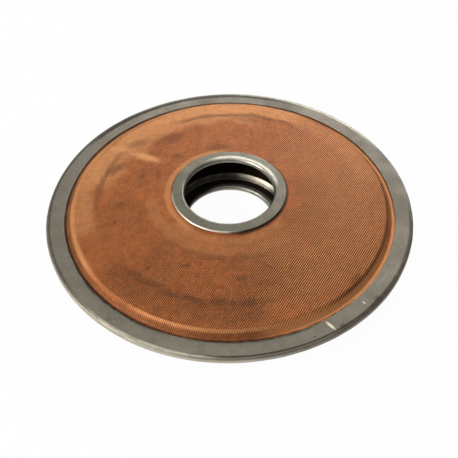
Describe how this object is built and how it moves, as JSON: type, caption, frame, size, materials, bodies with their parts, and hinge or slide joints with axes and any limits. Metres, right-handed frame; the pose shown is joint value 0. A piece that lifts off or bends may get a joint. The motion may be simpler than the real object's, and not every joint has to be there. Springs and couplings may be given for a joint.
{
  "type": "oil strainer",
  "caption": "Lens-shaped oil strainer disc: bronze wire cloth over slotted plates, crimped by a folded steel rim and folded steel hub rings round a central bore.",
  "frame": {"origin": "centre of the bore at the plane where the two halves meet, halfway between the two hub faces", "axes": "+Z along the bore axis, out of the upper face; X and Y lie in the plane of the disc, which is the same all round"},
  "size_m": [0.15, 0.15, 0.0188],
  "materials": {
    "rim_steel": "dull rolled strip steel, oil-darkened, with scratches and a worn outer edge",
    "hub_steel": "dull pressed steel, bright on the lip round the bore",
    "support_steel": "plain slotted sheet steel, darkened by oil",
    "wire_cloth": "fine bronze wire cloth in a plain Dutch weave, stained brown by oil"
  },
  "bodies": {
    "root": {"outer_rim": "rim_steel", "upper_screen": "wire_cloth", "lower_screen": "wire_cloth", "upper_support_plate": "support_steel", "lower_support_plate": "support_steel", "upper_hub_ring": "hub_steel", "lower_hub_ring": "hub_steel"}
  },
  "joints": []
}
